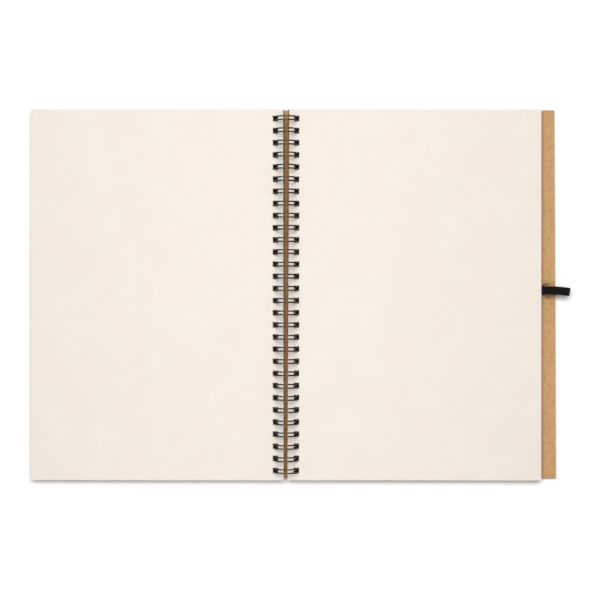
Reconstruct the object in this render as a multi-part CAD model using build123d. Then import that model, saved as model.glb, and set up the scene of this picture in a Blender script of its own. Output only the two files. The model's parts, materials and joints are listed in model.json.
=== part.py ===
from build123d import *
import os
from math import cos, degrees, radians, sin

# A wire-bound sketchbook lying open in the middle. Millimetres, +Z up, +Y towards the head.
# Half of the sheets lie left of the rings on the front cover and half lie right on the back cover.
# The rings are centred level with the open pages, so every leaf turns about one axis along Y
# and comes down exactly above the pages on the other side.

# Sheets
PAGE_WIDTH = 176.2
PAGE_HEIGHT = 258.7
SHEET_THICKNESS = 0.2
SHEETS_PER_SIDE = 25
STACK_HEIGHT = SHEETS_PER_SIDE * SHEET_THICKNESS

# Punched row, three square holes to the inch, set a little nearer the head
HOLE_SIZE = 4.0
HOLE_PITCH = 25.4 / 3
HOLE_COUNT = 30
HOLE_ROW_Y = 0.15
HOLE_TO_EDGE = 5.6  # from a hole's centre to the sheet's bound edge

# Twin-loop wire: pairs of rings joined by rounded tips on one side of the seam, links on the other
WIRE_RADIUS = 0.5
RING_RADIUS = 7.65
BEND_RADIUS = 1.25  # of the tips and of the bends into the links, and half a pair's spacing
SEAM_ANGLE = 16.5  # degrees from the lowest point of the rings to where the bends start
LINK_LENGTH = HOLE_PITCH - 4 * BEND_RADIUS

# Cover boards, a little shorter than the sheets and set a little nearer the head
BOARD_THICKNESS = 1.5
COVER_HEIGHT = 257.8
COVER_Y = 0.38
COVER_HOLE_X = 4.72  # the rings cross the boards nearer the middle than they cross the sheets
FRONT_COVER_BOUND_X = -1.3
FRONT_COVER_FORE_X = -176.7
BACK_COVER_BOUND_X = -1.0
BACK_COVER_FORE_X = 188.4

# Where each stack sits on the rings: the top sheet's hole, and the lean of the lowest sheets
# towards the middle, which follows the rings' curve
LEFT_HOLE_X, LEFT_LEAN = -7.5, 0.5
RIGHT_HOLE_X, RIGHT_LEAN = 7.25, -0.27

# Elastic pen loop, both ends through one slot beside the pages
ELASTIC_THICKNESS = 0.9
ELASTIC_WIDTH = 5.7
ELASTIC_GAP = 0.05  # between the elastic and the board that it lies on
LOOP_Y = 3.15
LOOP_END_X = 198.3
LOOP_RADIUS = 2.65  # of the fold's middle line at the far end
SHOULDER_RADIUS = 2.2
TUCK_RADIUS = 0.6
TAIL_LENGTH = 11.0
SLOT_X = 180.0
STRAND_PITCH = 1.0
SLOT_WIDTH = 2.1
SLOT_LENGTH = 6.3

# Heights, from the rings' lowest point
AXIS_Z = WIRE_RADIUS + RING_RADIUS * cos(radians(SEAM_ANGLE)) + BEND_RADIUS * sin(radians(SEAM_ANGLE))
BOARD_TOP_Z = AXIS_Z - STACK_HEIGHT
BOARD_Z = BOARD_TOP_Z - BOARD_THICKNESS

# The binding's centre line stands left of the origin, which is the middle of the footprint
LEFT_EXTENT = LEFT_HOLE_X + HOLE_TO_EDGE - PAGE_WIDTH
SPINE_X = -(LEFT_EXTENT + LOOP_END_X) / 2


def hole_rows_y():
    first = HOLE_ROW_Y - (HOLE_COUNT - 1) * HOLE_PITCH / 2
    return [first + i * HOLE_PITCH for i in range(HOLE_COUNT)]


def punched_plate(x_from, x_to, middle_y, height, z, thickness, hole_x):
    """A flat plate with the square binding holes, its underside at z; x counts from the rings."""
    plate = Pos((x_from + x_to) / 2, middle_y) * Rectangle(x_to - x_from, height)
    plate -= [Pos(hole_x, y) * Rectangle(HOLE_SIZE, HOLE_SIZE) for y in hole_rows_y()]
    return Pos(SPINE_X, 0, z) * extrude(plate, thickness)


def sheet(number, top_hole_x, lean):
    """Sheet 1 lies on the cover and the last one is the open page."""
    z = BOARD_TOP_Z + (number - 1) * SHEET_THICKNESS
    depth = AXIS_Z - z - SHEET_THICKNESS / 2
    hole_x = top_hole_x + lean * (depth / STACK_HEIGHT) ** 3
    side = 1 if hole_x > 0 else -1
    bound_x = hole_x - side * HOLE_TO_EDGE
    fore_x = bound_x + side * PAGE_WIDTH
    return punched_plate(
        min(bound_x, fore_x), max(bound_x, fore_x), 0, PAGE_HEIGHT, z, SHEET_THICKNESS, hole_x
    )


def front_cover():
    return punched_plate(
        FRONT_COVER_FORE_X, FRONT_COVER_BOUND_X, COVER_Y, COVER_HEIGHT,
        BOARD_Z, BOARD_THICKNESS, -COVER_HOLE_X,
    )


def back_cover():
    board = punched_plate(
        BACK_COVER_BOUND_X, BACK_COVER_FORE_X, COVER_Y, COVER_HEIGHT,
        BOARD_Z, BOARD_THICKNESS, COVER_HOLE_X,
    )
    slot = Box(SLOT_WIDTH, SLOT_LENGTH, 2 * BOARD_THICKNESS)
    return board - Pos(SPINE_X + SLOT_X, LOOP_Y, BOARD_Z + BOARD_THICKNESS / 2) * slot


def wire_piece(start, heading):
    """The wire's round section, standing at start and facing along its heading."""
    return Plane(origin=start, z_dir=heading) * Circle(WIRE_RADIUS)


def wire_tooth(y):
    """One pair of rings with its tip, its two bends and half of the link on each side."""
    turn = radians(SEAM_ANGLE)
    side, drop = RING_RADIUS * sin(turn), RING_RADIUS * cos(turn)
    pieces = []
    for sign in (-1, 1):
        ring_y = y + sign * BEND_RADIUS
        ring_start = Vector(side, ring_y, -drop)
        ring = wire_piece(ring_start, (cos(turn), 0, sin(turn)))
        pieces.append(revolve(ring, Axis((0, ring_y, 0), (0, -1, 0)), 360 - 2 * SEAM_ANGLE))
        bend = wire_piece(ring_start, (-cos(turn), 0, -sin(turn)))
        bend_centre = ring_start + Vector(0, sign * BEND_RADIUS, 0)
        outwards = (sign * sin(turn), 0, -sign * cos(turn))
        pieces.append(revolve(bend, Axis(bend_centre, outwards), 90))
        link_start = bend_centre + Vector(-cos(turn), 0, -sin(turn)) * BEND_RADIUS
        pieces.append(extrude(wire_piece(link_start, (0, sign, 0)), LINK_LENGTH / 2))
    tip_centre = Vector(-side, y, -drop)
    tip = wire_piece(tip_centre + Vector(0, BEND_RADIUS, 0), (cos(turn), 0, -sin(turn)))
    pieces.append(revolve(tip, Axis(tip_centre, (-sin(turn), 0, -cos(turn))), 180))
    return pieces


def wire_binding():
    pieces = [piece for y in hole_rows_y() for piece in wire_tooth(y)]
    return Pos(SPINE_X, 0, AXIS_Z) * pieces[0].fuse(*pieces[1:])


def pen_loop():
    """A flat elastic: out of the slot, round the loop, back down the slot and flat under the board."""
    under_z = BOARD_Z - ELASTIC_GAP - ELASTIC_THICKNESS / 2
    low_z = BOARD_TOP_Z + ELASTIC_GAP + ELASTIC_THICKNESS / 2
    high_z = low_z + 2 * LOOP_RADIUS
    near_x, far_x = SLOT_X - STRAND_PITCH / 2, SLOT_X + STRAND_PITCH / 2
    end_x = LOOP_END_X - ELASTIC_THICKNESS / 2
    corners = [
        (near_x - TAIL_LENGTH, under_z), (near_x, under_z), (near_x, high_z), (end_x, high_z),
        (end_x, low_z), (far_x, low_z), (far_x, under_z), (far_x + TAIL_LENGTH, under_z),
    ]
    almost_half = LOOP_RADIUS * 0.999  # two equal arcs need a little straight between them
    radii = [TUCK_RADIUS, SHOULDER_RADIUS, almost_half, almost_half, TUCK_RADIUS, TUCK_RADIUS]
    line = FilletPolyline(*[(x, 0, z) for x, z in corners], radius=radii)
    section = Rectangle(ELASTIC_WIDTH, ELASTIC_THICKNESS)
    pieces = []
    for edge in line.edges():
        face = Plane(origin=edge @ 0, x_dir=(0, 1, 0), z_dir=edge % 0) * section
        if edge.geom_type == GeomType.LINE:
            pieces.append(extrude(face, edge.length))
        else:
            axis = Axis(edge.arc_center, (edge % 0).cross(edge % 1))
            pieces.append(revolve(face, axis, degrees(edge.length / edge.radius)))
    return Pos(SPINE_X, LOOP_Y, 0) * pieces[0].fuse(*pieces[1:])


def main():
    os.makedirs("parts", exist_ok=True)
    nodes = {
        "front_cover": front_cover(),
        "back_cover": back_cover(),
        "wire_binding": wire_binding(),
        "pen_loop": pen_loop(),
    }
    for number in range(1, SHEETS_PER_SIDE + 1):
        nodes[f"left_sheet_{number:02d}"] = sheet(number, LEFT_HOLE_X, LEFT_LEAN)
        nodes[f"right_sheet_{number:02d}"] = sheet(number, RIGHT_HOLE_X, RIGHT_LEAN)
    for name, shape in nodes.items():
        export_step(shape, f"parts/{name}.step")


main()
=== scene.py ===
import json
import math
import random

import bpy
import numpy as np
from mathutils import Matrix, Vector


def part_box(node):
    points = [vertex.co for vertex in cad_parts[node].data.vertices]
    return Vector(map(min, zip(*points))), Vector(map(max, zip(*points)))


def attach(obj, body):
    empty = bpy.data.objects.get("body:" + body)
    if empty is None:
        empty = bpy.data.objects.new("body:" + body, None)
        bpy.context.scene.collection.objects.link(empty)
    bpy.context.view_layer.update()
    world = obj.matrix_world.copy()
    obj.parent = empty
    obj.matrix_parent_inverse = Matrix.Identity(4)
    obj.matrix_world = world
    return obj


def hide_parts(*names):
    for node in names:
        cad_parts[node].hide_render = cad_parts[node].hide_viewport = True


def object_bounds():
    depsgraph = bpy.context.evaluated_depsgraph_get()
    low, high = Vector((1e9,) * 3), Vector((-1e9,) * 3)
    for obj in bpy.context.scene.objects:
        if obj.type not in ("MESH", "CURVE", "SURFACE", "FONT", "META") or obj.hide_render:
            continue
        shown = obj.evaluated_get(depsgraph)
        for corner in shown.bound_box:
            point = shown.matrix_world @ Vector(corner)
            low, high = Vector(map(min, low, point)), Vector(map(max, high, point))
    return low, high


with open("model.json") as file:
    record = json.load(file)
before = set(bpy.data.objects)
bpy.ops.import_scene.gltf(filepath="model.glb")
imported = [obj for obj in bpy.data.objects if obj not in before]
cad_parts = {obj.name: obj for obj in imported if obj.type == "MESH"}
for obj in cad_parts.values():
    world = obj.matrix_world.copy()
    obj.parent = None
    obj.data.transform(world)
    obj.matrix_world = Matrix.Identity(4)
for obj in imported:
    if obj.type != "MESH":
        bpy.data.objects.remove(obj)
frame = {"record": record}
cad_low, cad_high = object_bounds()

# A wire-bound sketchbook lying open. Metres, +Z up, +Y towards the head.
MM = 0.001

# Punched row, as on the sheets and the covers
HOLE_SIZE = 4.0 * MM
HOLE_PITCH = 25.4 / 3 * MM
HOLE_COUNT = 30
SHEET_HOLE_TO_EDGE = 5.6 * MM
COVER_HOLE_X = 4.72 * MM  # from the rings' centre line
SHEETS_PER_SIDE = 25

# Wire binding
WIRE_RADIUS = 0.5 * MM
BEND_RADIUS = 1.25 * MM
SEAM_ANGLE = math.radians(16.5)
RING_STEPS = 72
WIRE_SIDES = 12
TOOTH_LEAN = 0.010  # of a pair of rings along the row, at most, as a share of its height
TOOTH_SLIP = 0.05 * MM

# Pen loop
ELASTIC_THICKNESS = 0.9 * MM
TAIL_LENGTH = 11.0 * MM
STRAND_PITCH = 1.0 * MM
SLOT_SIZE = (2.1 * MM, 6.3 * MM)
DROOP = math.radians(8.5)  # how far the loop's end points towards the tail
DROOP_FROM = 2.0 * MM  # past the strand in the slot

# How the book has settled on the table
FRONT_SAG = 1.60 * MM  # at the front cover's fore edge
BACK_SAG = 0.64 * MM  # at the back cover's fore edge, which lies on the pen loop's tails

# Meshes of the flat pieces, with the largest steps of their grids
BOARD_BEVEL = 0.3 * MM
BOARD_GRID = 12 * MM
PAPER_THICKNESS = 0.17 * MM  # leaves a hair of air between the sheets
SHEET_GRID = 14 * MM

# How the sheets lie loose: air under the open page's middle, ripples, its lifted corners, its bound
# margin pressed down, and how far any sheet may be turned or shifted against the next
SWELL = 0.30 * MM
RIPPLE = 0.10 * MM
CORNER_LIFT = 2.20 * MM
MARGIN_DROP = 0.42 * MM
SHEET_TURN = math.radians(0.035)
SHEET_SHIFT_X = 0.16 * MM
SHEET_SHIFT_Y = 0.09 * MM

# The open pages' small turns about the spine, and how far their bound margins splay at the head and
# close at the tail
PAGE_SKEW = {-1: math.radians(-0.015), 1: math.radians(-0.06)}
MARGIN_SPLAY = {-1: 0.29 * MM, 1: 0.50 * MM}
TRIM_SLANT = math.radians(0.23)  # of the back cover's fore edge, not quite square to its head

# Painted shade on the boards: how far from the spine lie the spots of shade seen down the holes,
# and the elastic's shade beside its slot (x and y from the slot, half width, half length, strength)
HOLE_SHADE_X = 7.4 * MM
LOOP_SHADE_SPOTS = (
    (2.6 * MM, 4.1 * MM, 2.6 * MM, 1.3 * MM, 0.95),
    (3.4 * MM, -5.2 * MM, 3.0 * MM, 2.4 * MM, 0.55),
    (6.2 * MM, -8.0 * MM, 2.2 * MM, 3.6 * MM, 0.30),
)

wire_low, wire_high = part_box("wire_binding")
SPINE_X = (wire_low.x + wire_high.x) / 2
HOLE_ROW_Y = (wire_low.y + wire_high.y) / 2
RING_RADIUS = (wire_high.x - wire_low.x) / 2 - WIRE_RADIUS
AXIS_Z = wire_high.z - WIRE_RADIUS - RING_RADIUS
FORE_REACH = {-1: SPINE_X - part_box("front_cover")[0].x, 1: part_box("back_cover")[1].x - SPINE_X}
BOARD_TOP_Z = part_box("back_cover")[1].z

loop_low, loop_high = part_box("pen_loop")
LOOP_Y = (loop_low.y + loop_high.y) / 2
ELASTIC_WIDTH = loop_high.y - loop_low.y
SLOT_X = loop_low.x + TAIL_LENGTH + STRAND_PITCH / 2

rng = random.Random(11)


# ---------------------------------------------------------------- materials

class Nodes:
    """Short forms for building one material's nodes."""

    def __init__(self, name):
        self.material = bpy.data.materials.new(name)
        self.material.use_nodes = True
        self.tree = self.material.node_tree
        self.shader = self.tree.nodes["Principled BSDF"]
        self.place = self.tree.nodes.new("ShaderNodeTexCoord").outputs["Object"]

    def put(self, socket, value):
        if isinstance(value, bpy.types.NodeSocket):
            self.tree.links.new(value, socket)
        elif hasattr(value, "__len__"):
            socket.default_value = (*value[:3], 1)
        else:
            socket.default_value = value

    def stretched(self, scale, turn=0.0):
        """Object coordinates scaled along each axis after a turn about Z."""
        node = self.tree.nodes.new("ShaderNodeMapping")
        self.put(node.inputs["Vector"], self.place)
        node.inputs["Rotation"].default_value = (0, 0, turn)
        node.inputs["Scale"].default_value = scale
        return node.outputs["Vector"]

    def noise(self, scale, detail=4.0, roughness=0.55, place=None):
        node = self.tree.nodes.new("ShaderNodeTexNoise")
        self.put(node.inputs["Vector"], place or self.place)
        node.inputs["Scale"].default_value = scale
        node.inputs["Detail"].default_value = detail
        node.inputs["Roughness"].default_value = roughness
        return node.outputs["Fac"]

    def ramp(self, value, *stops):
        """Colours or greys at places from 0 to 1."""
        node = self.tree.nodes.new("ShaderNodeValToRGB")
        self.put(node.inputs["Fac"], value)
        elements = node.color_ramp.elements
        while len(elements) < len(stops):
            elements.new(0.5)
        for element, (position, colour) in zip(elements, stops):
            element.position = position
            grey = not hasattr(colour, "__len__")
            element.color = (colour, colour, colour, 1) if grey else (*colour, 1)
        return node.outputs["Color"]

    def mix(self, a, b, share, mode="MIX"):
        node = self.tree.nodes.new("ShaderNodeMix")
        node.data_type = "RGBA"
        node.blend_type = mode
        self.put(node.inputs["Factor"], share)
        self.put(node.inputs[6], a)
        self.put(node.inputs[7], b)
        return node.outputs[2]

    def maths(self, operation, a, b=0.0):
        node = self.tree.nodes.new("ShaderNodeMath")
        node.operation = operation
        self.put(node.inputs[0], a)
        self.put(node.inputs[1], b)
        return node.outputs[0]

    def axes(self):
        """The object coordinates x, y and z, each by itself."""
        node = self.tree.nodes.new("ShaderNodeSeparateXYZ")
        self.put(node.inputs[0], self.place)
        return node.outputs

    def beside(self, x, reach):
        """A mask, 1 along the line at x and 0 from reach on either side of it."""
        away = self.maths("ABSOLUTE", self.maths("SUBTRACT", self.axes()[0], x))
        return self.ramp(self.maths("DIVIDE", away, reach), (0.6, 1.0), (1.0, 0.0))

    def bump(self, height, distance, strength=1.0, below=None):
        node = self.tree.nodes.new("ShaderNodeBump")
        self.put(node.inputs["Height"], height)
        node.inputs["Distance"].default_value = distance
        node.inputs["Strength"].default_value = strength
        if below is not None:
            self.put(node.inputs["Normal"], below)
        return node.outputs["Normal"]

    def finish(self, colour, roughness, normal=None, **constants):
        self.put(self.shader.inputs["Base Color"], colour)
        self.put(self.shader.inputs["Roughness"], roughness)
        if normal is not None:
            self.put(self.shader.inputs["Normal"], normal)
        for name, value in constants.items():
            self.shader.inputs[name.replace("_", " ")].default_value = value
        return self.material


def srgb(red, green, blue):
    """A colour as seen on a screen, 0 to 255, as linear light."""
    shares = [c / 255 for c in (red, green, blue)]
    return tuple(c / 12.92 if c <= 0.04045 else ((c + 0.055) / 1.055) ** 2.4 for c in shares)


def paper_face():
    """Cream drawing paper: the faintest clouding, fine fibres and the tooth that takes a pencil.

    Below the open page its bound edge is painted brown, as shade in the narrow gap at the spine."""
    n = Nodes("cream_paper")
    warm, cream, pale = srgb(219, 210, 201), srgb(220, 211, 202), srgb(221, 213, 204)
    clouds = n.ramp(n.noise(60, 3, 0.5), (0.3, warm), (0.5, cream), (0.7, pale))
    fibres = n.noise(1.0, 3, 0.6, n.stretched((4200, 1100, 2600), math.radians(24)))
    flecks = n.ramp(fibres, (0.30, srgb(206, 193, 176)), (0.46, srgb(255, 255, 255)))
    colour = n.mix(clouds, flecks, 0.14, "MULTIPLY")
    # Painted shade: the lower sheets' paper beside the spine is coloured brown like the shaded gap.
    below = n.maths("LESS_THAN", n.axes()[2], AXIS_Z - 0.75 * MM)
    gap_shade_mask = n.maths("MULTIPLY", n.beside(SPINE_X, 3.2 * MM), below)
    colour = n.mix(colour, srgb(150, 112, 66), gap_shade_mask)
    tooth = n.noise(2600, 3, 0.6)
    waves = n.noise(34, 2, 0.5)
    normal = n.bump(waves, 0.12 * MM, 0.35, n.bump(tooth, 0.05 * MM, 0.55))
    roughness = n.ramp(n.noise(900, 2), (0.3, 0.84), (0.7, 0.94))
    return n.finish(colour, roughness, normal, Specular_IOR_Level=0.25)


def paper_edge():
    """The cut edges of the sheets, no two quite alike, and painted darker along the wire, as shade in
    the narrow gap at the spine, but not at its ends.
    """
    n = Nodes("cream_paper_cut")
    level = n.noise(1.0, 1, 0.5, n.stretched((30, 30, 5200)))
    grey, cream, pale = srgb(196, 184, 166), srgb(219, 208, 193), srgb(231, 222, 209)
    colour = n.ramp(level, (0.30, grey), (0.52, cream), (0.75, pale))
    # Painted shade: the cut edges are darkened brown along the spine, where the gap is narrow and deep.
    painted_gap_shade = n.mix(colour, srgb(134, 108, 74), 1.0, "MULTIPLY")
    inside = n.maths("LESS_THAN", n.maths("ABSOLUTE", n.axes()[1]), cad_high.y - 1.5 * MM)
    colour = n.mix(colour, painted_gap_shade, n.maths("MULTIPLY", n.beside(SPINE_X, 14 * MM), inside))
    ragged = n.noise(1.0, 3, 0.6, n.stretched((2200, 2200, 9000)))
    return n.finish(colour, 0.92, n.bump(ragged, 0.04 * MM, 0.6), Specular_IOR_Level=0.2)


def spots(n, x, y, half_width, half_length, softness):
    """A mask, 0 outside the ellipse round x = 0 and y = 0 and 1 inside it, with a soft outline."""
    across = n.maths("DIVIDE", x, half_width)
    along = n.maths("DIVIDE", y, half_length)
    squares = n.maths("MULTIPLY", across, across), n.maths("MULTIPLY", along, along)
    far = n.maths("SQRT", n.maths("ADD", *squares))
    return n.ramp(far, (1 - softness, 1.0), (1.0, 0.0))


def darker_at_spine(n, colour):
    """Kraft in the shade of the rings, but not past the last of them at the head."""
    from_head = n.maths("DIVIDE", n.maths("SUBTRACT", cad_high.y, n.axes()[1]), 8 * MM)
    shaded = n.maths("MULTIPLY", n.beside(SPINE_X, 6 * MM), n.ramp(from_head, (0.4, 0.0), (1.0, 1.0)))
    return n.mix(colour, n.mix(colour, srgb(221, 205, 165), 1.0, "MULTIPLY"), shaded)


def shade_by_loop(n, colour):
    """Painted shade of the elastic: brown patches with frayed outlines beside its slot."""
    x, y = n.axes()[:2]
    frayed = n.maths("MULTIPLY", n.maths("SUBTRACT", n.noise(900, 3), 0.5), 1.6 * MM)
    for offset_x, offset_y, half_width, half_length, share in LOOP_SHADE_SPOTS:
        loop_shade_x = n.maths("ADD", n.maths("SUBTRACT", x, SLOT_X + offset_x), frayed)
        loop_shade_y = n.maths("SUBTRACT", y, LOOP_Y + offset_y)
        loop_shade_spot = spots(n, loop_shade_x, loop_shade_y, half_width, half_length, 0.9)
        # Painted shade: brown patches where the elastic shades the board.
        colour = n.mix(colour, srgb(120, 78, 26), n.maths("MULTIPLY", loop_shade_spot, share))
    return colour


def hole_shade_spots(n, colour):
    """Black spots on the boards' inner faces, one for each pair of rings: painted shade where the board
    is seen down the punched holes.
    """
    x, y, z = n.axes()
    from_spine = n.maths("ABSOLUTE", n.maths("SUBTRACT", x, SPINE_X))
    from_wire = n.maths("SUBTRACT", from_spine, HOLE_SHADE_X)
    row = n.maths("ADD", n.maths("DIVIDE", n.maths("SUBTRACT", y, HOLE_ROW_Y), HOLE_PITCH), 0.5)
    from_row = n.maths("MULTIPLY", n.maths("PINGPONG", row, 0.5), HOLE_PITCH)
    hole_shade = spots(n, from_wire, from_row, 2.9 * MM, 3.0 * MM, 0.35)
    inner_face = n.maths("GREATER_THAN", z, BOARD_TOP_Z - 0.4 * MM)
    # Painted shade: near-black board at the bottom of the punched holes.
    return n.mix(colour, srgb(34, 26, 18), n.maths("MULTIPLY", hole_shade, inner_face))


def kraft_face():
    """Uncoated brown kraft board: blotches a few millimetres wide, crossing fibres and small specks."""
    n = Nodes("kraft_board")
    deep, brown, tan = srgb(150, 110, 64), srgb(182, 142, 96), srgb(197, 158, 111)
    blotches = n.noise(330, 5, 0.62)
    colour = n.ramp(blotches, (0.30, deep), (0.46, brown), (0.56, srgb(187, 147, 101)), (0.72, tan))
    shade = n.ramp(n.noise(46, 3, 0.5), (0.32, srgb(225, 219, 212)), (0.62, srgb(255, 255, 255)))
    colour = n.mix(colour, shade, 0.55, "MULTIPLY")
    for scale, turn, share in (((2600, 240, 800), 0.35, 0.34), ((260, 2200, 800), 0.2, 0.28)):
        strands = n.noise(1.0, 3, 0.65, n.stretched(scale, turn))
        dark, middle, light = srgb(142, 104, 62), srgb(190, 150, 104), srgb(208, 173, 129)
        tones = n.ramp(strands, (0.32, dark), (0.5, middle), (0.7, light))
        colour = n.mix(colour, tones, share)
    specks = n.ramp(n.noise(1900, 2, 0.5), (0.24, 1.0), (0.32, 0.0))
    colour = n.mix(colour, srgb(112, 80, 48), specks)
    # Painted shade: darker kraft at the spine, beside the elastic's slot and down the punched holes.
    for painted_shade in (darker_at_spine, shade_by_loop, hole_shade_spots):
        colour = painted_shade(n, colour)
    grain = n.noise(2400, 4, 0.65)
    pulp = n.noise(1.0, 3, 0.6, n.stretched((2400, 300, 800), 0.35))
    normal = n.bump(pulp, 0.06 * MM, 0.5, n.bump(grain, 0.05 * MM, 0.6))
    roughness = n.ramp(n.noise(500, 3), (0.3, 0.74), (0.7, 0.90))
    return n.finish(colour, roughness, normal, Specular_IOR_Level=0.3)


def kraft_edge():
    """The boards' cut edges, darker, in thin layers."""
    n = Nodes("kraft_board_cut")
    layers = n.noise(1.0, 2, 0.6, n.stretched((60, 60, 4200)))
    dark, middle, light = srgb(118, 86, 56), srgb(152, 116, 78), srgb(176, 140, 98)
    colour = n.ramp(layers, (0.32, dark), (0.5, middle), (0.7, light))
    torn = n.noise(1.0, 4, 0.6, n.stretched((1800, 1800, 5200)))
    return n.finish(colour, 0.92, n.bump(torn, 0.12 * MM, 0.7), Specular_IOR_Level=0.2)


def coated_wire():
    """Black nylon over steel: a soft shine with a faint orange peel, and a brown highlight painted on
    top of the rings.
    """
    n = Nodes("black_wire")
    colour = n.ramp(n.noise(420, 4, 0.6), (0.35, srgb(6, 5, 4)), (0.66, srgb(13, 11, 10)))
    on_top = n.maths("GREATER_THAN", n.axes()[2], AXIS_Z + 0.85 * RING_RADIUS)
    painted_crest_highlight = n.maths("MULTIPLY", n.beside(SPINE_X - 0.8 * MM, 2.9 * MM), on_top)
    patchy = n.ramp(n.noise(900, 3, 0.6), (0.3, 0.35), (0.6, 0.75))
    # Painted highlight: brown on the rings' crests near the spine.
    colour = n.mix(colour, srgb(116, 96, 70), n.maths("MULTIPLY", painted_crest_highlight, patchy))
    roughness = n.ramp(n.noise(700, 3, 0.6), (0.35, 0.26), (0.7, 0.42))
    peel = n.bump(n.noise(2600, 2), 0.02 * MM, 0.5)
    return n.finish(colour, roughness, peel, Specular_IOR_Level=0.25)


def woven_elastic():
    """Black braided elastic, matt, with dusty high spots, and browner at the loop's fold."""
    n = Nodes("black_elastic")
    dust = n.noise(1500, 4, 0.65)
    colour = n.ramp(dust, (0.35, srgb(9, 7, 6)), (0.6, srgb(17, 15, 13)), (0.8, srgb(34, 33, 28)))
    from_end = n.maths("DIVIDE", n.maths("SUBTRACT", loop_high.x, n.axes()[0]), 4 * MM)
    at_fold = n.ramp(from_end, (0.25, 1.0), (0.5, 0.0))
    colour = n.mix(colour, srgb(38, 24, 10), n.maths("MULTIPLY", at_fold, 0.6))
    fuzz = n.noise(5200, 3, 0.7)
    return n.finish(
        colour, 0.86, n.bump(fuzz, 0.05 * MM, 0.7),
        Specular_IOR_Level=0.12, Sheen_Weight=0.05, Sheen_Roughness=0.5,
    )


# ---------------------------------------------------------------- meshes

def grid_lines(low, high, cuts, step):
    """Places from low to high that include the cuts and are at most a step apart."""
    marks = [low, *sorted(c for c in cuts if low < c < high), high]
    lines = [low]
    for a, b in zip(marks, marks[1:]):
        parts = max(1, math.ceil((b - a) / step - 1e-6))
        lines += [a + (b - a) * (i + 1) / parts for i in range(parts)]
    return np.array(lines)


def punched_grid(low, high, holes, step):
    """A flat plate between two corners with rectangular holes (x, y, width, height) left out.

    Returns its points, its faces, and for each face 0 on the flats or 1 on a cut edge."""
    cuts_x = [x + sign * w / 2 for x, y, w, h in holes for sign in (-1, 1)]
    cuts_y = [y + sign * h / 2 for x, y, w, h in holes for sign in (-1, 1)]
    xs = grid_lines(low.x, high.x, cuts_x, step)
    ys = grid_lines(low.y, high.y, cuts_y, step)
    xs, ys = (a[np.concatenate(([True], np.diff(a) > 1e-7))] for a in (xs, ys))
    mid_x, mid_y = (xs[1:] + xs[:-1]) / 2, (ys[1:] + ys[:-1]) / 2
    solid = np.ones((len(mid_x) + 2, len(mid_y) + 2), bool)
    solid[[0, -1], :] = False
    solid[:, [0, -1]] = False
    for x, y, w, h in holes:
        solid[1:-1, 1:-1] &= ~((abs(mid_x - x) < w / 2)[:, None] & (abs(mid_y - y) < h / 2)[None, :])
    flat = np.array([(x, y, 0) for x in xs for y in ys])
    points = np.concatenate([flat + (0, 0, low.z), flat + (0, 0, high.z)])
    upper = len(flat)

    def at(i, j):
        return i * len(ys) + j

    faces, cut = [], []
    for i in range(len(mid_x)):
        for j in range(len(mid_y)):
            if not solid[i + 1, j + 1]:
                continue
            ring = [at(i, j), at(i + 1, j), at(i + 1, j + 1), at(i, j + 1)]
            faces += [[v + upper for v in ring], ring[::-1]]
            cut += [0, 0]
            beside = (solid[i + 1, j], solid[i + 2, j + 1], solid[i + 1, j + 2], solid[i, j + 1])
            for k, filled in enumerate(beside):
                if not filled:
                    a, b = ring[k], ring[(k + 1) % 4]
                    faces.append([a, b, b + upper, a + upper])
                    cut.append(1)
    return points, faces, cut


def new_piece(name, points, faces, materials, cut=None, crease=35):
    """A mesh object of the faces and the points that they use."""
    used = sorted({v for face in faces for v in face})
    number = {v: i for i, v in enumerate(used)}
    mesh = bpy.data.meshes.new(name)
    mesh.from_pydata([tuple(points[v]) for v in used], [], [[number[v] for v in f] for f in faces])
    for material in materials:
        mesh.materials.append(material)
    if cut is not None:
        mesh.polygons.foreach_set("material_index", cut)
    mesh.shade_smooth()
    mesh.set_sharp_from_angle(angle=math.radians(crease))
    mesh.validate()
    piece = bpy.data.objects.new(name, mesh)
    bpy.context.scene.collection.objects.link(piece)
    return piece


def hole_rows_y():
    return [HOLE_ROW_Y + (i - (HOLE_COUNT - 1) / 2) * HOLE_PITCH for i in range(HOLE_COUNT)]


def settled(points, side, skew=0.0, shift=(0.0, 0.0)):
    """The points turned slightly about the spine and sloped down to where the fore edge rests."""
    moved = points.copy()
    x, y = points[:, 0] - SPINE_X, points[:, 1] - HOLE_ROW_Y
    moved[:, 0] += -y * skew + shift[0]
    moved[:, 1] += x * skew + shift[1]
    sag = FRONT_SAG if side < 0 else BACK_SAG
    moved[:, 2] -= sag * abs(x) / FORE_REACH[side]
    return moved


def board(node, side, body, slant, extra_holes, materials):
    """A cover: soft corners all round, also in the punched holes, and a slanted fore edge."""
    low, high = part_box(node)
    holes = [(SPINE_X + side * COVER_HOLE_X, y, HOLE_SIZE, HOLE_SIZE) for y in hole_rows_y()]
    points, faces, cut = punched_grid(low, high, holes + extra_holes, BOARD_GRID)
    points[:, 0] -= points[:, 1] * slant * abs(points[:, 0] - SPINE_X) / FORE_REACH[side]
    piece = new_piece(node + "_board", settled(points, side), faces, materials, cut)
    bevel = piece.modifiers.new("soft_edges", "BEVEL")
    bevel.width = BOARD_BEVEL
    bevel.material = 1
    bevel.segments = 3
    bevel.limit_method = "ANGLE"
    bevel.angle_limit = math.radians(40)
    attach(piece, body)
    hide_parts(node)


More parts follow.
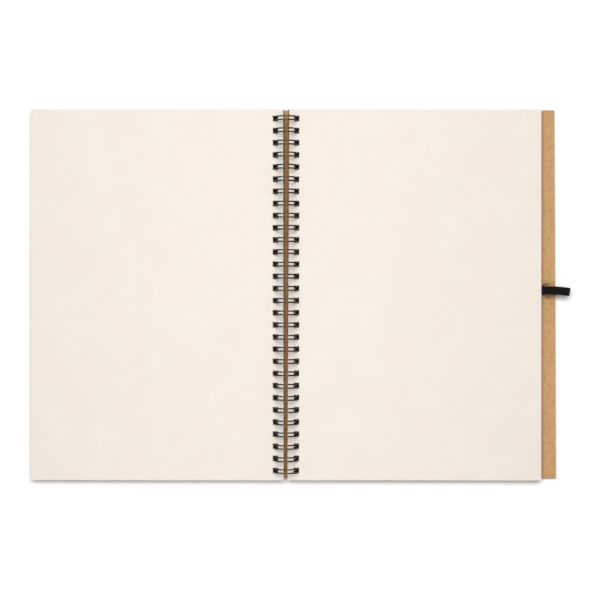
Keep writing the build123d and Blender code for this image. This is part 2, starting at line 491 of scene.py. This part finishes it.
def lofted(points, side, level):
    """Air between the sheets: level is 0 on the cover and 1 for the open page."""
    x, y = abs(points[:, 0] - SPINE_X), points[:, 1]
    along, across = x / FORE_REACH[side], y / (cad_high.y - cad_low.y)
    room = 1.0 if side < 0 else 0.4
    swell = SWELL * level ** 2 * np.sin(np.pi * np.clip(along, 0, 1)) ** 2
    ripple = RIPPLE * level * along * (1 + np.sin(9.0 * across + 2.0 * along + side))
    corner = CORNER_LIFT * level ** 6 * np.clip(along - 0.45, 0, 1) ** 2 * (0.5 - side * across) ** 2
    margin = np.clip(1 - (x - x.min()) / SHEET_HOLE_TO_EDGE, 0, 1)
    raised = points.copy()
    raised[:, 0] += side * MARGIN_SPLAY[side] * level * margin * 2 * across
    raised[:, 2] += room * (swell + ripple + corner) - MARGIN_DROP * level * margin ** 2
    return raised


def drawing_sheet(side, number, body, materials):
    """One sheet, lying a hair off its neighbours as a used pad's do."""
    node = f"{'left' if side < 0 else 'right'}_sheet_{number:02d}"
    low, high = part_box(node)
    middle = (low.z + high.z) / 2
    low.z, high.z = middle - PAPER_THICKNESS / 2, middle + PAPER_THICKNESS / 2
    bound_x = high.x if side < 0 else low.x
    hole_x = bound_x + side * SHEET_HOLE_TO_EDGE
    holes = [(hole_x, y, HOLE_SIZE, HOLE_SIZE) for y in hole_rows_y()]
    points, faces, cut = punched_grid(low, high, holes, SHEET_GRID)
    level = (number - 1) / (SHEETS_PER_SIDE - 1)
    skew = PAGE_SKEW[side] * level ** 3 + rng.uniform(-SHEET_TURN, SHEET_TURN)
    shift = (rng.uniform(-SHEET_SHIFT_X, SHEET_SHIFT_X), rng.uniform(-SHEET_SHIFT_Y, SHEET_SHIFT_Y))
    shape = settled(lofted(points, side, level), side, skew, shift)
    piece = new_piece(node + "_paper", shape, faces, materials, cut)
    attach(piece, body)
    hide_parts(node)


def arc(centre, from_vector, to_vector, angle, steps):
    """Points round a centre, from one radius vector towards another at a right angle to it."""
    turns = [angle * i / steps for i in range(steps + 1)]
    return [centre + from_vector * math.cos(t) + to_vector * math.sin(t) for t in turns]


def comb_line():
    """The wire's centre line, tooth after tooth from the tail to the head."""
    side, drop = RING_RADIUS * math.sin(SEAM_ANGLE), RING_RADIUS * math.cos(SEAM_ANGLE)
    outwards = Vector((math.cos(SEAM_ANGLE), 0, math.sin(SEAM_ANGLE)))
    inwards = Vector((math.cos(SEAM_ANGLE), 0, -math.sin(SEAM_ANGLE)))
    along_y = Vector((0, 1, 0))
    whole_ring = 2 * math.pi - 2 * SEAM_ANGLE
    line = []
    for row_y in hole_rows_y():
        lean = rng.uniform(-TOOTH_LEAN, TOOTH_LEAN)
        slip = rng.uniform(-TOOTH_SLIP, TOOTH_SLIP)
        tooth = []
        for sign in (-1, 1):
            ring_y = row_y + sign * BEND_RADIUS
            start = Vector((side, ring_y, -drop))
            corner = start + Vector((0, sign * BEND_RADIUS, 0))
            bend = arc(corner, -outwards * BEND_RADIUS, along_y * -sign * BEND_RADIUS, math.pi / 2, 6)
            centre = Vector((0, ring_y, 0))
            ring = arc(centre, start - centre, outwards * RING_RADIUS, whole_ring, RING_STEPS)
            half = bend + ring[1:]
            tooth += half if sign < 0 else half[::-1]
            if sign < 0:
                tip = Vector((-side, row_y, -drop))
                tooth += arc(tip, -along_y * BEND_RADIUS, inwards * BEND_RADIUS, math.pi, 12)[1:-1]
        for point in tooth:
            point.y += lean * (point.z + drop) + slip
        line += tooth
    return [point + Vector((SPINE_X, 0, AXIS_Z)) for point in line]


def headings(line):
    """Unit vectors along a line of points."""
    ahead = np.gradient(line, axis=0)
    return ahead / np.linalg.norm(ahead, axis=1)[:, None]


def ring_faces(count, sides):
    """The faces that join each of the rings of points to the next."""
    faces = []
    for i in range(count - 1):
        for k in range(sides):
            a, b = i * sides + k, i * sides + (k + 1) % sides
            faces.append([a, b, b + sides, a + sides])
    return faces


def tube(line, radius, sides):
    """Points and faces of a round tube along a line, with low cones for ends."""
    line = np.array([tuple(p) for p in line])
    ahead = headings(line)
    across = np.cross(ahead[0], (0, 0, 1.0))
    rings = []
    for point, heading in zip(line, ahead):
        across = across - heading * (across @ heading)
        across /= np.linalg.norm(across)
        upright = np.cross(heading, across)
        turns = [2 * math.pi * k / sides for k in range(sides)]
        rings.append([point + radius * (across * math.cos(t) + upright * math.sin(t)) for t in turns])
    points = [p for ring in rings for p in ring]
    faces = ring_faces(len(rings), sides)
    last = (len(rings) - 1) * sides
    for first, order, heading, end in ((0, -1, -ahead[0], line[0]), (last, 1, ahead[-1], line[-1])):
        points.append(end + heading * radius * 0.5)
        ring = [first + k for k in range(sides)][::order]
        faces += [[ring[k], ring[(k + 1) % sides], len(points) - 1] for k in range(sides)]
    return points, faces


def wire_binding(material):
    points, faces = tube(comb_line(), WIRE_RADIUS, WIRE_SIDES)
    piece = new_piece("twin_loop_wire", points, faces, [material], crease=60)
    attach(piece, "root")
    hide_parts("wire_binding")


def rounded_line(corners, radii, step):
    """Points along straight runs joined by arcs of the given radii, about a step apart."""
    line = [Vector(corners[0])]
    for a, b, c, radius in zip(corners, corners[1:], corners[2:], radii):
        a, b, c = Vector(a), Vector(b), Vector(c)
        back, on = (a - b).normalized(), (c - b).normalized()
        half = (math.pi - back.angle(on)) / 2
        first = b + back * radius * math.tan(half)
        centre = b + (back + on).normalized() * radius / math.cos(half)
        normal = back.cross(on).normalized()
        spoke = first - centre
        steps = max(3, math.ceil(2 * half * radius / step))
        line += arc(centre, spoke, spoke.cross(normal), 2 * half, steps)
    line.append(Vector(corners[-1]))
    spaced = [line[0]]
    for a, b in zip(line, line[1:]):
        parts = math.ceil((b - a).length / step)
        spaced += [a.lerp(b, (i + 1) / parts) for i in range(parts)]
    return spaced


def pen_loop_line():
    """The elastic's middle line, along the board's underside, up through the slot, round and back."""
    half = ELASTIC_THICKNESS / 2
    sunk = BACK_SAG * (SLOT_X - SPINE_X) / FORE_REACH[1]
    under, top = loop_low.z + half - sunk + 0.04 * MM, loop_high.z - half
    on_board = BOARD_TOP_Z - sunk + half + 0.06 * MM
    near, far = SLOT_X - STRAND_PITCH / 2, SLOT_X + STRAND_PITCH / 2
    end_x = loop_high.x - half
    corners = [
        (loop_low.x, under), (near, under), (near, top - 0.5 * MM), (near + 7 * MM, top - 0.3 * MM),
        (end_x, top + 0.05 * MM), (end_x - 0.1 * MM, on_board + 0.2 * MM), (far + 6 * MM, on_board),
        (far, on_board), (far, under), (loop_high.x - 7 * MM, under),
    ]
    radii = [0.6 * MM, 2.2 * MM, 8 * MM, 2.5 * MM, 2.4 * MM, 8 * MM, 0.6 * MM, 0.6 * MM]
    return rounded_line([(x, LOOP_Y, z) for x, z in corners], radii, 0.16 * MM)


def ribbon(line, width, thickness):
    """A woven band along a line in the XZ plane: ribs along it, crossed by its yarns."""
    ribs, yarn, relief = 12, 0.46 * MM, 0.055 * MM
    line = np.array([tuple(p) for p in line])
    length = np.concatenate([[0], np.cumsum(np.linalg.norm(np.diff(line, axis=0), axis=1))])
    across, samples, side_steps = np.array((0, 1.0, 0)), ribs * 6, 5
    flat, round_side = (width - thickness) / 2, thickness / 2
    section = []
    for side in (1, -1):
        section += [(side * flat * (1 - 2 * i / samples), side * round_side) for i in range(samples)]
        for k in range(side_steps):
            t = math.pi * k / side_steps
            section.append((side * (-flat - math.sin(t) * round_side), side * math.cos(t) * round_side))
    section = np.array(section)
    points = []
    for here, heading, run in zip(line, headings(line), length):
        upright = np.cross(heading, across)
        rib = (section[:, 0] / width + 0.5) * ribs
        weave = np.cos(math.pi * (np.floor(rib) + run / yarn * 2))
        bulge = relief * (np.abs(np.sin(math.pi * rib)) ** 0.6 * (0.75 + 0.25 * weave) - 1)
        out = section[:, 1] + np.sign(section[:, 1]) * bulge * (abs(section[:, 1]) > thickness * 0.49)
        points += [here + across * v + upright * w for v, w in zip(section[:, 0], out)]
    sides = len(section)
    last = (len(line) - 1) * sides
    ends = [list(range(sides))[::-1], list(range(last, last + sides))]
    return np.array(points), ring_faces(len(line), sides) + ends


def drooped(points, from_x, slope, reach):
    """Bends the loop gently towards the tail as it leaves the board."""
    bent = points.copy()
    out = np.clip(points[:, 0] - from_x, 0, None)
    angle = slope * out / reach
    y = points[:, 1] - LOOP_Y
    bent[:, 0] += y * np.sin(angle)
    bent[:, 1] = LOOP_Y - slope * out ** 2 / (2 * reach) + y * np.cos(angle)
    return bent


def pen_loop(material):
    points, faces = ribbon(pen_loop_line(), ELASTIC_WIDTH, ELASTIC_THICKNESS)
    start = loop_low.x + TAIL_LENGTH + DROOP_FROM
    points = drooped(points, start, DROOP, loop_high.x - start)
    piece = new_piece("elastic_pen_loop", points, faces, [material], crease=75)
    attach(piece, "root")
    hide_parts("pen_loop")


# ---------------------------------------------------------------- the book

def build_book():
    bodies = {n: b for b, members in frame["record"]["behaviour"]["bodies"].items() for n in members}
    kraft = [kraft_face(), kraft_edge()]
    paper = [paper_face(), paper_edge()]
    slot = (SLOT_X, LOOP_Y, *SLOT_SIZE)
    board("front_cover", -1, bodies["front_cover"], 0.0, [], kraft)
    board("back_cover", 1, bodies["back_cover"], TRIM_SLANT, [slot], kraft)
    for number in range(1, SHEETS_PER_SIDE + 1):
        for side, word in ((-1, "left"), (1, "right")):
            drawing_sheet(side, number, bodies[f"{word}_sheet_{number:02d}"], paper)
    wire_binding(coated_wire())
    pen_loop(woven_elastic())


# ---------------------------------------------------------------- studio

KEY_POWER = 33.9
KEY_TILT = math.radians(20)
KEY_DISTANCE = 2.0
KEY_SIZE = (1.7, 0.90)
FILL_POWER = 1.0
FILL_X, FILL_Y, FILL_Z = -0.022, -0.10, 0.42
FILL_SIZE = (0.28, 0.9)
WORLD_LIGHT = 0.28
BACKDROP = 0.80

# The table glows beyond the lamps' reach, so that it meets the backdrop without a dark band
FAR_GLOW = 0.54
GLOW_RADIUS = 1.7  # from where the glow is full
FLOOR_REACH = 6.0

VIEW_WIDTH = 418.4 * MM
CAMERA_DISTANCE = 1150 * MM
CAMERA_X, CAMERA_Y = SPINE_X + 9.66 * MM, -3.63 * MM


def floor():
    mesh = bpy.data.meshes.new("floor")
    corners = ((-1, -1), (1, -1), (1, 1), (-1, 1))
    mesh.from_pydata([(x * FLOOR_REACH, y * FLOOR_REACH, 0) for x, y in corners], [], [[0, 1, 2, 3]])
    n = Nodes("white_table")
    x, y = n.axes()[:2]
    near = spots(n, x, y, GLOW_RADIUS, GLOW_RADIUS, 0.7)
    glow = n.mix((FAR_GLOW, FAR_GLOW, FAR_GLOW), (0, 0, 0), near)
    n.put(n.shader.inputs["Emission Color"], glow)
    white = n.finish((0.93, 0.93, 0.93), 0.9, Specular_IOR_Level=0.1, Emission_Strength=1.0)
    mesh.materials.append(white)
    piece = bpy.data.objects.new("floor", mesh)
    bpy.context.scene.collection.objects.link(piece)


def lamp(name, power, place, target, size):
    """A rectangular softbox that the camera doesn't see."""
    light = bpy.data.lights.new(name, "AREA")
    light.energy = power
    light.shape = "RECTANGLE"
    light.size, light.size_y = size
    piece = bpy.data.objects.new(name, light)
    piece.visible_camera = False
    piece.location = place
    piece.rotation_mode = "QUATERNION"
    piece.rotation_quaternion = (Vector(target) - Vector(place)).to_track_quat("-Z", "Y")
    bpy.context.scene.collection.objects.link(piece)


def lighting():
    """A long softbox beyond the head casts the rings' shadows, and one overhead fills them."""
    key_place = (SPINE_X, KEY_DISTANCE * math.sin(KEY_TILT), KEY_DISTANCE * math.cos(KEY_TILT))
    lamp("key", KEY_POWER, key_place, (SPINE_X, 0, 0), KEY_SIZE)
    lamp("overhead", FILL_POWER, (FILL_X, FILL_Y, FILL_Z), (FILL_X, FILL_Y, 0), FILL_SIZE)
    world = bpy.data.worlds.new("studio")
    world.use_nodes = True
    tree = world.node_tree
    background = tree.nodes["Background"]
    background.inputs["Color"].default_value = (1, 1, 1, 1)
    background.inputs["Strength"].default_value = WORLD_LIGHT
    seen = tree.nodes.new("ShaderNodeBackground")
    seen.inputs["Color"].default_value = (1, 1, 1, 1)
    seen.inputs["Strength"].default_value = BACKDROP
    path = tree.nodes.new("ShaderNodeLightPath")
    choose = tree.nodes.new("ShaderNodeMixShader")
    tree.links.new(path.outputs["Is Camera Ray"], choose.inputs["Fac"])
    tree.links.new(background.outputs[0], choose.inputs[1])
    tree.links.new(seen.outputs[0], choose.inputs[2])
    tree.links.new(choose.outputs[0], tree.nodes["World Output"].inputs["Surface"])
    bpy.context.scene.world = world


def overhead_camera():
    """Straight down on the open pages."""
    data = bpy.data.cameras.new("camera")
    data.sensor_width = 36
    data.lens = data.sensor_width * CAMERA_DISTANCE / VIEW_WIDTH
    data.clip_start, data.clip_end = 0.05, 50
    camera = bpy.data.objects.new("camera", data)
    camera.location = (CAMERA_X, CAMERA_Y, AXIS_Z + CAMERA_DISTANCE)
    bpy.context.scene.collection.objects.link(camera)
    bpy.context.scene.camera = camera
    bpy.context.scene.view_settings.view_transform = "Standard"


build_book()
floor()
lighting()
overhead_camera()
